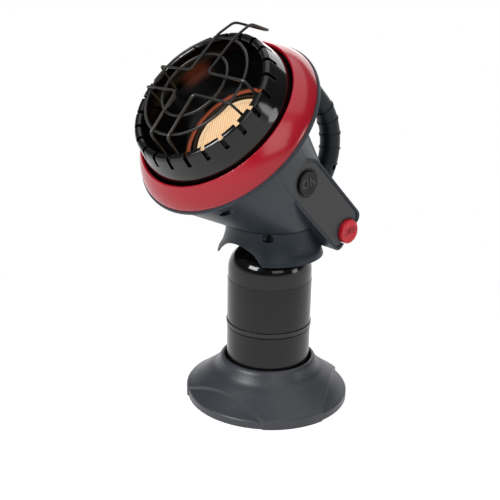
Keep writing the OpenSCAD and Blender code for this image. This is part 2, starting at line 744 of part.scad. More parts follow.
module guard_rings() {
    // each ring lies behind the cross, as far as the sloping arms need
    color([0.12, 0.11, 0.11]) at_lip() for (r = [guard_ring_1, guard_ring_2]) {
        along = sqrt(r * r - half_w * half_w);
        translate([0, guard_up, guard_z(along) - wire_d - gap])
            rotate_extrude() translate([r, 0]) circle(r = wire_d / 2, $fn = 24);
    }
}

// ---------- burner ----------

module heat_shield() {
    // a pan behind the reflector that keeps its heat off the housing
    color(steel) at_lip() difference() {
        rotate_extrude() polygon([
            [plenum_r + 1.2, -51], [63, -51], [70.1, -30], [71.6, -24], [71.6, -21.4],
            [85.9, -21.4], [85.9, -22.3], [72.5, -22.3], [72.5, -24.1], [71, -30.2],
            [63.6, -51.9], [plenum_r + 1.2, -51.9]]);
        for (w = windows) translate([w[0], w[1], -60]) cylinder(r = w[2], h = 12);
    }
}

module burner_tile() {
    color([0.93, 0.80, 0.60]) at_lip() translate([0, 0, -bowl_floor_depth + 1 - tile_t])
        cylinder(r = tile_r, h = tile_t);
}

module tile_gasket() {
    z = -bowl_floor_depth + 1 - tile_t;
    color([0.25, 0.24, 0.22]) at_lip() {
        ring(plenum_r - 0.9, tile_r + 0.1, z, z + tile_t - 1.5);
    }
}

module burner_plenum() {
    z = -bowl_floor_depth + 1 - tile_t;
    collar = -bowl_floor_depth - sheet_t - gap;
    color(steel) at_lip() difference() {
        rotate_extrude() polygon([
        [plenum_r, z + tile_t + 3.5], [plenum_r, collar], [plenum_r + 3.2, collar],
        [plenum_r + 3.2, collar - 1], [plenum_r, collar - 1], [plenum_r, z - 18], [plenum_r - 3, z - 21], [14, z - 21],
        [14, z - 26], [11.2, z - 26], [11.2, z - 20.2], [plenum_r - 3.3, z - 20.2],
        [plenum_r - 0.8, z - 17.6], [plenum_r - 0.8, z - 0.9], [tile_r - 3, z - 0.9],
        [tile_r - 3, z - 0.1], [plenum_r - 0.8, z - 0.1], [plenum_r - 0.8, z + tile_t + 3.5]]);
        for (w = windows) translate([w[0], w[1], collar - 2]) cylinder(r = w[2], h = 3);
    }
}

mixer_front = -bowl_floor_depth + 1 - tile_t - 20;
mixer_len = 42;

module mixer_tube() {
    color(steel) at_lip() difference() {
        rotate_extrude() polygon([
            [9.2, mixer_front - mixer_len - 4], [9.2, mixer_front - mixer_len + 12],
            [7.5, mixer_front - mixer_len + 22], [10, mixer_front - 8], [10, mixer_front + 2],
            [11, mixer_front + 2], [11, mixer_front - 8], [8.5, mixer_front - mixer_len + 22],
            [10.2, mixer_front - mixer_len + 12], [10.2, mixer_front - mixer_len - 4]]);
        for (a = [0:90:270]) rotate([0, 0, a + 45])
            translate([0, -3, mixer_front - mixer_len + 2]) cube([20, 6, 8]);
    }
}

orifice_front = mixer_front - mixer_len + 3;

module gas_orifice() {
    color(brass) at_lip() difference() {
        union() {
            translate([0, 0, orifice_front - 4]) cylinder(r1 = 5, r2 = 3, h = 4);
            translate([0, 0, orifice_front - 10]) cylinder(r = 9.1, h = 6, $fn = 6);
            translate([0, 0, orifice_front - 16]) cylinder(r = 5, h = 6.1);
        }
        translate([0, 0, orifice_front - 17]) cylinder(r = 1, h = 18);
    }
}

module gas_tube() {
    // from the valve in the arm to the back of the orifice
    end = orifice_front - 16.2;
    path = [for (p = rounded([[[33.5, 0, -118], 0], [[24, 0, -118], 6], [[16, 0, end - 12], 10],
                              [[0, 0, end - 12], 9], [[0, 0, end], 0]], false, 6)) p];
    color([0.75, 0.70, 0.55]) at_lip() swept(path, 5, sides = 10, start = [0, 1, 0]);
}

// ---------- controls ----------

valve_x = 50;       // outer face of the valve under the ON button
module valve_body() {
    color(brass) at_lip() difference() {
        union() {
            translate([34, -12, -on_back - 16]) cube([valve_x - 34, 24, 30]);
            // lug that is screwed to the inside of the panel
            translate([44, -8, -on_back - 20]) cube([panel_x - shell_t - 1.4 - 44, 16, 4.5]);
        }
        translate([38, 0, -on_back]) rotate([0, 90, 0]) cylinder(r = 4.05, h = 20);
        translate([30, 0, -118]) rotate([0, 90, 0]) cylinder(r = 1.6, h = 6);
    }
}

module button_cap(r, face, skirt_h, stem_r, stem_end, back) {
    at_lip() translate([0, 0, -back]) rotate([0, 90, 0]) {
        difference() {
            union() {
                translate([0, 0, face - skirt_h]) cylinder(r = r, h = skirt_h - 1);
                translate([0, 0, face - 1]) cylinder(r1 = r, r2 = r - 1, h = 1);
            }
            translate([0, 0, face - skirt_h - 1]) cylinder(r = r - 1.8, h = skirt_h - 1.5);
            // shallow dish in the face for the finger
            translate([0, 0, face + 59.2]) sphere(r = 60);
        }
        translate([0, 0, stem_end]) cylinder(r = stem_r, h = face - 2 - stem_end);
    }
}

on_face = panel_x + 2;
off_face = panel_x + 3.5;

module on_button() {
    color([0.06, 0.06, 0.06]) button_cap(on_r, on_face, 7, 4, 43.5, on_back);
}

module off_button() {
    color([0.70, 0.05, 0.08]) button_cap(off_r, off_face, 9, 4, 42, off_back);
}

module button_spring(x0, x1, back) {
    at_lip() translate([0, 0, -back]) swept(helix(x0, x1, 6.2, 4), 1, sides = 6, start = [1, 0, 0]);
}

module on_spring() {
    color(steel) button_spring(valve_x + 0.7, on_face - 3.2, on_back);
}

module off_spring() {
    color(steel) button_spring(46.2, off_face - 3.2, off_back);
}

module piezo_igniter() {
    // stands beside the valve, its plunger under the rim of the ON button's lever
    color([0.75, 0.72, 0.62]) at_lip() {
        translate([34, -6, -on_back - 40]) cube([18, 12, 12]);
        translate([30, 0, -on_back - 34]) rotate([0, 90, 0]) cylinder(r = 3, h = 4.1);
    }
}

module igniter_lead() {
    // fixed wire from the igniter to the electrode, clipped inside the housing
    path = rounded([[[29.7, 0, -on_back - 34], 0], [[25.7, 0, -on_back - 34], 2.2], [[24, -7, -on_back - 34], 4.5],
                    [[24, -34, -110], 12], [[12, -52, -80], 12], [[8, -(plenum_r + 7), -62], 6],
                    [[8, -(plenum_r + 7), -54.2], 0]], false, 5);
    color([0.75, 0.75, 0.72]) at_lip() swept(path, 2.6, sides = 8, start = [0, 0, 1]);
}

module spark_electrode() {
    y = -(plenum_r + 7);
    color([0.92, 0.90, 0.86]) at_lip() {
        difference() {
            translate([8, y, -54]) cylinder(r = 3.4, h = 26);
            translate([8, y, -36]) cylinder(r = 0.8, h = 9);
        }
        translate([8, y, -36]) cylinder(r = 0.75, h = 14);
        translate([8, y, -22.6]) rotate([-90, 0, 0]) cylinder(r = 0.75, h = 8);
    }
}

module pilot_burner() {
    y = -(plenum_r + 6);
    color(steel) at_lip() difference() {
        union() {
            translate([-18, y, -56]) cylinder(r = 3.2, h = 26);
            translate([-18, y, -30.1]) cylinder(r = 4, h = 6);
            translate([-18, y, -bowl_floor_depth - sheet_t - gap - 1.2]) cylinder(r = 5.4, h = 1.2);
        }
        translate([-18, y, -57]) cylinder(r = 1.4, h = 29);
        translate([-18, y, -28]) cylinder(r = 2.8, h = 5);
    }
}

module thermocouple() {
    y = -(plenum_r + 6);
    color([0.70, 0.62, 0.50]) at_lip() {
        translate([-9, y + 1, -56]) cylinder(r = 1.8, h = 33);
        translate([-9, y + 1, -23]) sphere(r = 1.8);
    }
}

module tip_switch() {
    // a ball-in-cage switch that shuts the gas when the heater falls over
    color([0.12, 0.12, 0.13]) translate([-26, 26, 234.7]) difference() {
        cube([14, 18, 20]);
        translate([7, 9, 4]) cylinder(r = 5, h = 18);
    }
    color(steel) translate([-19, 35, 243.6]) sphere(r = 4.8);
}

// ---------- fasteners ----------

module bezel_screws() {
    color(steel) at_lip() for (a = bezel_screw_at) rotate([0, 0, a])
        translate([97.5, 0, shell_cone - gap]) rotate([180, 0, 0]) screw(3.2, 2, 1.25, flange_t + 8);
}

module rim_screws() {
    color(steel) at_lip() for (a = rim_screw_at) rotate([0, 0, a])
        translate([rim_base_r + 3.2, 0, -bezel_depth + 1.25]) screw(2.4, 1.8, 1.3, 5);
}

// A screw along x with its head's seat at x, its head on the given side.
module screw_x(yz, x, side, head_r, head_h, shank_r, shank_h) {
    translate([x, yz[0], yz[1]]) rotate([0, side > 0 ? 90 : -90, 0])
        screw(head_r, head_h, shank_r, shank_h);
}

module housing_screws() {
    color(steel) for (c = clamps)
        screw_x(c, c[2] * (clamp_seat + 0.05), c[2], 3.4, 2.2, 1.5, clamp_seat + 9);
}

module skirt_screws() {
    color(steel) for (m = [-1, 1])
        screw_x(skirt_screw, m * 29.05, m, 3.4, 2.2, 1.5, 13);
}

module handle_screws() {
    color(steel) at_lip() for (c = handle_clamps) screw_x(c, 3.05, 1, 2.8, 1.8, 1.5, 10);
}

foot();
cylinder_lower_shell();
cylinder_upper_shell();
cylinder_label();
cylinder_valve_boss();
cylinder_valve_core();
cylinder_relief_valve();
seal_washer();
inlet_fitting();
regulator_body();
regulator_cover();
regulator_diaphragm();
housing_left();
housing_right();
neck_skirt();
handle_left();
handle_right();
red_bezel();
slotted_rim();
reflector_bowl();
guard_wire();
guard_rings();
heat_shield();
burner_tile();
tile_gasket();
burner_plenum();
mixer_tube();
gas_orifice();
gas_tube();
valve_body();
on_button();
on_spring();
off_button();
off_spring();
piezo_igniter();
igniter_lead();
spark_electrode();
pilot_burner();
thermocouple();
tip_switch();
bezel_screws();
rim_screws();
housing_screws();
skirt_screws();
handle_screws();
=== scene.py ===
import math

import bmesh
import bpy
from mathutils import Matrix, Vector


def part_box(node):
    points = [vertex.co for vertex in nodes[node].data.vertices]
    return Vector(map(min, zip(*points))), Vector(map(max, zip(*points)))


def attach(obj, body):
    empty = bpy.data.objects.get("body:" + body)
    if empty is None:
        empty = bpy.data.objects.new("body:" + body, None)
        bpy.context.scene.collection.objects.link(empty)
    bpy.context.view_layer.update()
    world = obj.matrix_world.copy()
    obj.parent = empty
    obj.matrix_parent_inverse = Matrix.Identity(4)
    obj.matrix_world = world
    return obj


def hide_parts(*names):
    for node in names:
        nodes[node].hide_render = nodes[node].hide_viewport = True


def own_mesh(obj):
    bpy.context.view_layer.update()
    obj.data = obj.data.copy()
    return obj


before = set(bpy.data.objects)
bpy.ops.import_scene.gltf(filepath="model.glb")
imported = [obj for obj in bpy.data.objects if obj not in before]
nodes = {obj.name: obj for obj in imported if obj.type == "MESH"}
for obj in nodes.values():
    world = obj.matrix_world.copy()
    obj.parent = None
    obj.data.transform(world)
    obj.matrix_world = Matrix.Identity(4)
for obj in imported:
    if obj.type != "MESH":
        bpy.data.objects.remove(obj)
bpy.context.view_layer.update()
scene = bpy.context.scene
scene.view_settings.view_transform = "Standard"

# ---------- places and sizes, in metres and radians ----------

# The head's own frame: origin at the middle of the dish's lip, x across, y up the face,
# z out of the dish.
LIP = Vector((0, -0.0855, 0.3449))
PITCH = math.radians(45.8)
HEAD = Matrix.Translation(LIP) @ Matrix.Rotation(PITCH, 4, "X")

# The buttons' axes along the head's z.
ON_AT, OFF_AT = -0.1085, -0.205

# The words on the buttons: size, depth below the face, and the turn of their line.
ON_WORD_SIZE, OFF_WORD_SIZE = 0.0135, 0.0112
WORD_SINK = 0.0005
WORD_TURN = 0.10

# The arm's sunken panel: its face along X, half width, rear end and corner.
PANEL_X = 0.0599
PANEL_HALF = 0.0265
PANEL_BACK = -0.211
PANEL_CORNER = 0.009
FILM_INSET = 0.0042
FILM_THICK = 0.00012
FILM_HOLE_R = 0.0163
OFF_NOTCH_R = 0.0166
# A black ring round the ON button's hole, painted shade of the gap round the button: outer radius,
# hole radius and thickness.
GAP_SHADE_R, GAP_SHADE_HOLE_R = 0.0162, 0.0139
GAP_SHADE_THICK = 0.00014

# Closed sections of (radius, height): a dark sheet of painted shade that goes on up inside the curl
# behind the slots, and the cup behind the OFF button.
SLOT_SHADE_SECTION = [(0.0812, 0.0150), (0.0796, 0.0200), (0.0779, 0.0242), (0.0768, 0.0262),
          (0.0764, 0.0260), (0.0775, 0.0240), (0.0792, 0.0198), (0.0808, 0.0149)]
CUP = [(0.0006, 0.0350), (0.0108, 0.0350), (0.0116, 0.0358), (0.0116, 0.0566),
       (0.0112, 0.0570), (0.0106, 0.0570), (0.0106, 0.0362), (0.0006, 0.0362)]

# Where the tile's light is painted on the dish, copper and glowing, each as rise from, rise to,
# fall from, fall to:
# a ring of painted glow on the floor by radius, and a painted reflection of the tile on the upper
# wall by angle and height.
GLOW_FLOOR = (-0.0372, -0.0352)
GLOW_RING = (0.0548, 0.0560, 0.0588, 0.0606)
REFLECTION_TURN = (2.28, 2.50, 2.62, 2.86)
REFLECTION_HEIGHT = (-0.014, -0.006, 0.001, 0.008)

# The wrap's seam, by angle round the cylinder.
SEAM_TURN = (2.195, 2.2, 2.21, 2.215)

SHARP_EDGE = math.radians(24)
JOIN_WITHIN = 0.000002

# The floor is plain white beyond the object's shadow.
SHADOW_FADE = (0.16, 0.55)
FLOOR_RADIUS = 4.0
FLOOR_DROP = 0.0003

# ---------- camera ----------

# The lens and the place come from a fit of the object's known sizes to the photo.
cam_data = bpy.data.cameras.new("camera")
cam_data.sensor_width = 36
cam_data.lens = 66.43
cam_data.clip_start = 0.05
camera = bpy.data.objects.new("camera", cam_data)
scene.collection.objects.link(camera)
camera.matrix_world = Matrix((
    (0.684633, -0.247378, 0.685625, 0.703307),
    (0.728679, 0.209782, -0.651934, -0.700666),
    (0.017442, 0.945936, 0.323883, 0.516489),
    (0, 0, 0, 1)))
scene.camera = camera


# ---------- material helpers ----------

class Graph:
    """The node tree of a material or a world, with short ways to add and join nodes."""

    def __init__(self, owner, out_kind):
        owner.use_nodes = True
        self.tree = owner.node_tree
        self.tree.nodes.clear()
        self.out = self.add(out_kind)
        self.coords = self.add("ShaderNodeTexCoord").outputs
        self.coord = self.coords["Object"]

    def add(self, kind, **values):
        node = self.tree.nodes.new(kind)
        for key, value in values.items():
            setattr(node, key, value)
        return node

    def put(self, socket, value):
        if isinstance(value, bpy.types.NodeSocket):
            self.tree.links.new(value, socket)
        elif isinstance(value, tuple) and len(value) == 3 and socket.type == "RGBA":
            socket.default_value = (*value, 1)
        else:
            socket.default_value = value

    def math(self, op, a, b=0.0):
        node = self.add("ShaderNodeMath", operation=op)
        self.put(node.inputs[0], a)
        self.put(node.inputs[1], b)
        return node.outputs[0]

    def noise(self, scale, detail=3.0, rough=0.5, vector=None):
        node = self.add("ShaderNodeTexNoise")
        self.put(node.inputs["Vector"], vector or self.coord)
        node.inputs["Scale"].default_value = scale
        node.inputs["Detail"].default_value = detail
        node.inputs["Roughness"].default_value = rough
        return node.outputs["Fac"]

    def span(self, value, from_min, from_max, to_min, to_max, smooth=True):
        node = self.add("ShaderNodeMapRange")
        if smooth:
            node.interpolation_type = "SMOOTHSTEP"
        self.put(node.inputs["Value"], value)
        node.inputs["From Min"].default_value = from_min
        node.inputs["From Max"].default_value = from_max
        node.inputs["To Min"].default_value = to_min
        node.inputs["To Max"].default_value = to_max
        return node.outputs["Result"]

    def band(self, value, ends):
        """1 inside a range, with soft ends: rise from, rise to, fall from, fall to."""
        return self.math("MULTIPLY", self.span(value, ends[0], ends[1], 0.0, 1.0),
                         self.span(value, ends[2], ends[3], 1.0, 0.0))

    def mix(self, fac, a, b):
        node = self.add("ShaderNodeMix", data_type="RGBA")
        self.put(node.inputs["Factor"], fac)
        self.put(node.inputs[6], a)
        self.put(node.inputs[7], b)
        return node.outputs[2]

    def head_coord(self):
        node = self.add("ShaderNodeMapping", vector_type="TEXTURE")
        self.put(node.inputs["Vector"], self.coord)
        node.inputs["Location"].default_value = LIP
        node.inputs["Rotation"].default_value = (PITCH, 0, 0)
        return node.outputs["Vector"]

    def split(self, vector):
        node = self.add("ShaderNodeSeparateXYZ")
        self.put(node.inputs[0], vector)
        return node.outputs

    def radius(self, x, y):
        squares = self.math("ADD", self.math("MULTIPLY", x, x), self.math("MULTIPLY", y, y))
        return self.math("SQRT", squares)

    def bump(self, height, distance, strength=1.0, edge=0.0):
        """A surface's grain, over edges that are softened by the radius edge."""
        node = self.add("ShaderNodeBump")
        self.put(node.inputs["Height"], height)
        node.inputs["Distance"].default_value = distance
        node.inputs["Strength"].default_value = strength
        if edge:
            soft = self.add("ShaderNodeBevel", samples=4)
            soft.inputs["Radius"].default_value = edge
            self.put(node.inputs["Normal"], soft.outputs["Normal"])
        return node.outputs["Normal"]

    def closure(self, kind, color):
        """A plain shader of one colour."""
        node = self.add(kind)
        self.put(node.inputs["Color"], color)
        return node.outputs[0]

    def blend(self, fac, a, b):
        """A mix of two shaders."""
        node = self.add("ShaderNodeMixShader")
        for socket, value in zip(node.inputs, (fac, a, b)):
            self.put(socket, value)
        return node.outputs[0]

    def surface(self, shader):
        self.put(self.out.inputs["Surface"], shader)

    def principled(self, **values):
        node = self.add("ShaderNodeBsdfPrincipled")
        for key, value in values.items():
            self.put(node.inputs[key.replace("_", " ")], value)
        self.surface(node.outputs[0])


def new_material(name):
    mat = bpy.data.materials.new(name)
    return mat, Graph(mat, "ShaderNodeOutputMaterial")


def tinted(color, amount):
    return tuple(min(1.0, c * amount) for c in color)


def finish_mat(name, color, rough, metal=0.0, coat=0.0, spec=0.5, tone=0.12, tone_scale=14.0,
               grain=0.00004, grain_scale=1400.0, wave=0.0, edge=0.0006):
    """A plain finish: slow tone changes, a grain in the surface and softened edges."""
    mat, g = new_material(name)
    slow = g.noise(tone_scale, 4.0, 0.55)
    fine = g.noise(grain_scale, 2.0, 0.6)
    base = g.mix(slow, tinted(color, 1 - tone), tinted(color, 1 + tone))
    base = g.mix(g.span(fine, 0.35, 0.7, 0.0, 0.35), base, tinted(color, 0.86))
    height = fine
    if wave:
        height = g.math("ADD", fine, g.math("MULTIPLY", g.noise(26.0, 1.0), wave))
    g.principled(Base_Color=base,
                 Roughness=g.span(slow, 0.3, 0.7, rough * 0.9, min(1.0, rough * 1.12)),
                 Metallic=metal, Coat_Weight=coat, Coat_Roughness=0.06,
                 Specular_IOR_Level=spec, Normal=g.bump(height, grain, 1.0, edge))
    return mat


def brushed_mat(name, color, rough, along=(1.0, 1.0, 30.0), metal=1.0):
    """Bare metal with fine drawn lines."""
    mat, g = new_material(name)
    stretch = g.add("ShaderNodeMapping")
    g.put(stretch.inputs["Vector"], g.coord)
    stretch.inputs["Scale"].default_value = along
    lines = g.noise(900.0, 2.0, 0.6, stretch.outputs["Vector"])
    slow = g.noise(40.0, 3.0)
    g.principled(Base_Color=g.mix(lines, tinted(color, 0.82), tinted(color, 1.1)),
                 Roughness=g.span(slow, 0.3, 0.7, rough * 0.8, rough * 1.2), Metallic=metal,
                 Normal=g.bump(lines, 0.00003, 0.6, 0.0003))
    return mat


def painted_tile_glow(g, slow):
    """0 to 1 where the tile's light is painted on the dish: painted glow on the floor, a painted
    reflection on the upper wall.
    """
    x, y, z = g.split(g.head_coord())
    floor = g.span(z, *GLOW_FLOOR, 1.0, 0.0)
    # The ring round the tile on the floor: painted glow of the tile's light.
    glow_ring = g.math("MULTIPLY", floor, g.band(g.radius(x, y), GLOW_RING))
    # The patch on the upper wall: a painted reflection of the tile.
    painted_reflection = g.math("MULTIPLY", g.band(g.math("ARCTAN2", y, x), REFLECTION_TURN),
                   g.band(z, REFLECTION_HEIGHT))
    painted_reflection = g.math("MULTIPLY", painted_reflection, 0.30)
    return g.math("MULTIPLY", g.math("MAXIMUM", glow_ring, painted_reflection), g.span(slow, 0.3, 0.7, 0.7, 1.0))


def enamel(name, gloss, spec, with_painted_glow):
    """Black enamel; in the dish, the tile's light painted on in copper and glow: on the floor round
    the tile, and as a painted reflection on the upper wall.
    """
    mat, g = new_material(name)
    slow = g.noise(22.0, 3.0)
    fine = g.noise(700.0, 2.0)
    base = g.mix(slow, (0.0025, 0.0025, 0.0028), (0.0040, 0.0038, 0.0036))
    glow = {}
    if with_painted_glow:
        painted_glow_mask = painted_tile_glow(g, slow)
        # Painted light: the dish turns copper where the tile's glow and reflection are painted.
        base = g.mix(painted_glow_mask, base, (0.34, 0.085, 0.042))
        # Painted glow: the dish emits light where the tile's light is painted on it.
        glow = {"Emission_Color": (0.60, 0.12, 0.05),
                "Emission_Strength": g.math("MULTIPLY", painted_glow_mask, 0.16)}
    wave = g.math("ADD", g.math("MULTIPLY", fine, 0.25), g.noise(30.0, 1.0))
    g.principled(Base_Color=base, Roughness=g.span(slow, 0.3, 0.7, gloss, gloss * 1.5),
                 Specular_IOR_Level=spec, Normal=g.bump(wave, 0.00005, 0.6, 0.0004), **glow)
    return mat


def glowing_tile():
    """The burner tile: pale ceramic with rows of small holes, glowing."""
    mat, g = new_material("burner_ceramic")
    head = g.head_coord()
    x, y, _ = g.split(head)
    r = g.radius(x, y)
    turn = g.add("ShaderNodeMapping")
    g.put(turn.inputs["Vector"], head)
    turn.inputs["Rotation"].default_value = (0, 0, math.radians(45))
    cells = g.add("ShaderNodeTexVoronoi", voronoi_dimensions="2D", feature="F1")
    g.put(cells.inputs["Vector"], turn.outputs["Vector"])
    cells.inputs["Scale"].default_value = 440.0
    cells.inputs["Randomness"].default_value = 0.0
    hole = g.span(cells.outputs["Distance"], 0.22, 0.46, 1.0, 0.0)
    hole = g.math("MULTIPLY", hole, g.span(r, 0.0415, 0.0425, 1.0, 0.0))
    glow = g.mix(g.noise(60.0, 3.0), (0.92, 0.60, 0.30), (1.0, 0.74, 0.44))
    glow = g.mix(g.math("MULTIPLY", hole, 0.80), glow, (0.56, 0.20, 0.07))
    g.principled(Base_Color=g.mix(hole, (0.30, 0.24, 0.17), (0.10, 0.05, 0.03)),
                 Roughness=0.85, Emission_Color=glow,
                 Emission_Strength=g.span(r, 0.034, 0.0455, 0.92, 0.62),
                 Normal=g.bump(hole, 0.0004, -0.5))
    return mat


def wrap():
    """The cylinder's wrap, left bare: dark grey, with a seam and a fine grain."""
    mat, g = new_material("wrap_film")
    x, y, _ = g.split(g.coord)
    slow = g.noise(18.0, 4.0)
    fine = g.noise(1800.0, 2.0)
    base = g.mix(slow, (0.0060, 0.0060, 0.0064), (0.0084, 0.0080, 0.0084))
    base = g.mix(g.span(fine, 0.3, 0.75, 0.0, 0.3), base, (0.005, 0.005, 0.0054))
    seam = g.band(g.math("ARCTAN2", y, x), SEAM_TURN)
    base = g.mix(g.math("MULTIPLY", seam, 0.7), base, (0.004, 0.004, 0.004))
    g.principled(Base_Color=base, Roughness=g.span(slow, 0.3, 0.7, 0.19, 0.23),
                 Specular_IOR_Level=0.34, Normal=g.bump(fine, 0.000003, 0.5, 0.0002))
    return mat


# ---------- the materials ----------

slate = finish_mat("slate_plastic", (0.024, 0.032, 0.042), 0.40, spec=0.32, tone=0.10,
                   grain=0.00005, grain_scale=1900.0, edge=0.0009)
# A lighter copy of the slate plastic for the foot: painted light.
foot_slate_painted_light = finish_mat("foot_plastic_painted_light", (0.043, 0.046, 0.055), 0.37, tone=0.10,
                        grain=0.00006, grain_scale=1700.0, edge=0.0008)
# Darker copies of the slate plastic for the skirt and the handles: painted shade.
skirt_slate_painted_shade = finish_mat("skirt_plastic_painted_shade", (0.013, 0.021, 0.030), 0.40, spec=0.34, tone=0.10,
                         grain=0.00005, grain_scale=1900.0, edge=0.0009)
handle_slate_painted_shade = finish_mat("handle_plastic_painted_shade", (0.008, 0.013, 0.018), 0.40, spec=0.24,
                          grain=0.00006, grain_scale=1700.0, edge=0.0009)
red_gloss = finish_mat("red_gloss", (0.42, 0.005, 0.018), 0.20, coat=0.12, tone=0.05,
                       tone_scale=9.0, grain=0.000012, grain_scale=500.0, wave=0.4,
                       edge=0.0007)
wire_mat = finish_mat("guard_finish", (0.020, 0.019, 0.018), 0.30, metal=0.1, tone=0.25,
                      tone_scale=60.0, grain=0.00003, edge=0.0)
cylinder_mat = finish_mat("cylinder_paint", (0.0025, 0.0025, 0.003), 0.10, tone=0.15,
                          grain=0.000008, grain_scale=700.0, wave=0.5, edge=0.0005)
on_mat = finish_mat("black_button", (0.009, 0.009, 0.0095), 0.34, spec=0.25, tone=0.15,
                    edge=0.0008)
off_mat = finish_mat("red_button", (0.78, 0.020, 0.036), 0.34, coat=0.05, spec=0.35,
                     tone=0.08, grain=0.00003, edge=0.0008)
on_word = finish_mat("black_letters", (0.034, 0.034, 0.036), 0.36, tone=0.15, edge=0.0)
off_word = finish_mat("red_letters", (0.34, 0.010, 0.018), 0.40, tone=0.08, edge=0.0)
panel_mat = finish_mat("panel_film", (0.041, 0.040, 0.041), 0.38, spec=0.42, tone=0.08,
                       tone_scale=30.0, grain=0.00003, grain_scale=2600.0, edge=0.0)
rubber_mat = finish_mat("black_rubber", (0.012, 0.012, 0.012), 0.7, tone=0.2)
switch_mat = finish_mat("switch_plastic", (0.016, 0.016, 0.018), 0.5, tone=0.2)
igniter_mat = finish_mat("igniter_plastic", (0.48, 0.43, 0.32), 0.5, tone=0.1)
lead_mat = finish_mat("lead_cover", (0.52, 0.52, 0.50), 0.5)
glaze_mat = finish_mat("electrode_glaze", (0.72, 0.69, 0.62), 0.18, coat=0.5, tone=0.06)
gasket_mat = finish_mat("gasket_fibre", (0.007, 0.0066, 0.006), 0.9, tone=0.3,
                        tone_scale=300.0, grain=0.0002, grain_scale=1200.0, edge=0.0)
EVEN = (3.0, 3.0, 3.0)
FINER = (4.0, 4.0, 4.0)
brass_mat = brushed_mat("brass", (0.74, 0.55, 0.24), 0.28)
probe_mat = brushed_mat("probe_metal", (0.56, 0.42, 0.28), 0.35)
zinc_mat = brushed_mat("cast_zinc", (0.52, 0.52, 0.54), 0.42, EVEN)
steel_mat = brushed_mat("plain_steel", (0.48, 0.48, 0.47), 0.32)
screw_mat = brushed_mat("screw_steel", (0.36, 0.36, 0.35), 0.34, FINER)
dark_screw_mat = brushed_mat("dark_screw_steel", (0.06, 0.06, 0.06), 0.4, FINER)
tube_mat = brushed_mat("tube_metal", (0.62, 0.57, 0.44), 0.3)
cup_mat = brushed_mat("heated_steel", (0.035, 0.030, 0.028), 0.42, metal=0.6)
enamel_mat = enamel("black_enamel", 0.08, 0.5, False)
# The dish's enamel carries the painted glow and the painted reflection of the tile.
dish_mat = enamel("dish_enamel", 0.12, 0.12, True)
tile_mat = glowing_tile()
wrap_mat = wrap()

looks = {
    "foot": foot_slate_painted_light, "housing_left": slate, "housing_right": slate,
    "neck_skirt": skirt_slate_painted_shade, "handle_left": handle_slate_painted_shade, "handle_right": handle_slate_painted_shade,
    "red_bezel": red_gloss, "slotted_rim": enamel_mat, "reflector_bowl": dish_mat,
    "guard_wire": wire_mat, "guard_rings": wire_mat,
    "cylinder_lower_shell": cylinder_mat, "cylinder_upper_shell": cylinder_mat,
    "cylinder_label": wrap_mat, "cylinder_valve_boss": brass_mat,
    "cylinder_valve_core": brass_mat, "cylinder_relief_valve": brass_mat,
    "inlet_fitting": brass_mat, "gas_orifice": brass_mat, "valve_body": brass_mat,
    "seal_washer": rubber_mat, "regulator_diaphragm": rubber_mat,
    "regulator_body": zinc_mat, "regulator_cover": zinc_mat, "heat_shield": steel_mat,
    "burner_plenum": cup_mat, "mixer_tube": steel_mat, "on_spring": steel_mat,
    "off_spring": steel_mat, "pilot_burner": steel_mat, "burner_tile": tile_mat,
    "tile_gasket": gasket_mat, "gas_tube": tube_mat, "on_button": on_mat,
    "off_button": off_mat, "piezo_igniter": igniter_mat, "igniter_lead": lead_mat,
    "spark_electrode": glaze_mat, "thermocouple": probe_mat, "tip_switch": switch_mat,
    "bezel_screws": screw_mat, "rim_screws": screw_mat, "housing_screws": dark_screw_mat,
    "skirt_screws": dark_screw_mat, "handle_screws": dark_screw_mat,
}


def smoothing():
    """A modifier's node group: joins the facets and shades them smooth up to a sharp angle."""
    tree = bpy.data.node_groups.new("smooth_by_angle", "GeometryNodeTree")
    tree.interface.new_socket("Geometry", in_out="INPUT", socket_type="NodeSocketGeometry")
    tree.interface.new_socket("Geometry", in_out="OUTPUT", socket_type="NodeSocketGeometry")
    make = tree.nodes.new
    link = tree.links.new
    start, end = make("NodeGroupInput"), make("NodeGroupOutput")
    strip = make("GeometryNodeRemoveAttribute")
    strip.inputs["Name"].default_value = "custom_normal"
    merge = make("GeometryNodeMergeByDistance")
    merge.inputs["Distance"].default_value = JOIN_WITHIN
    faces = make("GeometryNodeSetShadeSmooth")
    faces.domain = "FACE"
    edges = make("GeometryNodeSetShadeSmooth")
    edges.domain = "EDGE"
    edges.inputs["Shade Smooth"].default_value = False
    angle = make("GeometryNodeInputMeshEdgeAngle")
    sharp = make("FunctionNodeCompare")
    sharp.operation = "GREATER_THAN"
    sharp.inputs[1].default_value = SHARP_EDGE
    link(start.outputs[0], strip.inputs["Geometry"])
    link(strip.outputs[0], merge.inputs["Geometry"])
    link(merge.outputs[0], faces.inputs["Geometry"])
    link(faces.outputs[0], edges.inputs["Geometry"])
    link(angle.outputs[0], sharp.inputs[0])
    link(sharp.outputs[0], edges.inputs["Selection"])
    link(edges.outputs[0], end.inputs[0])
    return tree


def smooth(obj):
    modifier = obj.modifiers.new("smooth", "NODES")
    modifier.node_group = smooth_group


smooth_group = smoothing()
for name, obj in nodes.items():
    obj.data.materials.clear()
    obj.data.materials.append(looks[name])
    smooth(obj)


# ---------- pieces that the CAD doesn't hold ----------

def linked(name, data):
    obj = bpy.data.objects.new(name, data)
    scene.collection.objects.link(obj)
    return obj


def as_mesh(obj):
    """Turns a curve or text object into a mesh of its own, in the shared frame."""
    bpy.context.view_layer.update()
    depsgraph = bpy.context.evaluated_depsgraph_get()
    mesh = bpy.data.meshes.new_from_object(obj.evaluated_get(depsgraph))
    mesh.transform(obj.matrix_world)
    made = linked(obj.name + "_piece", mesh)
    bpy.data.objects.remove(obj)
    return made


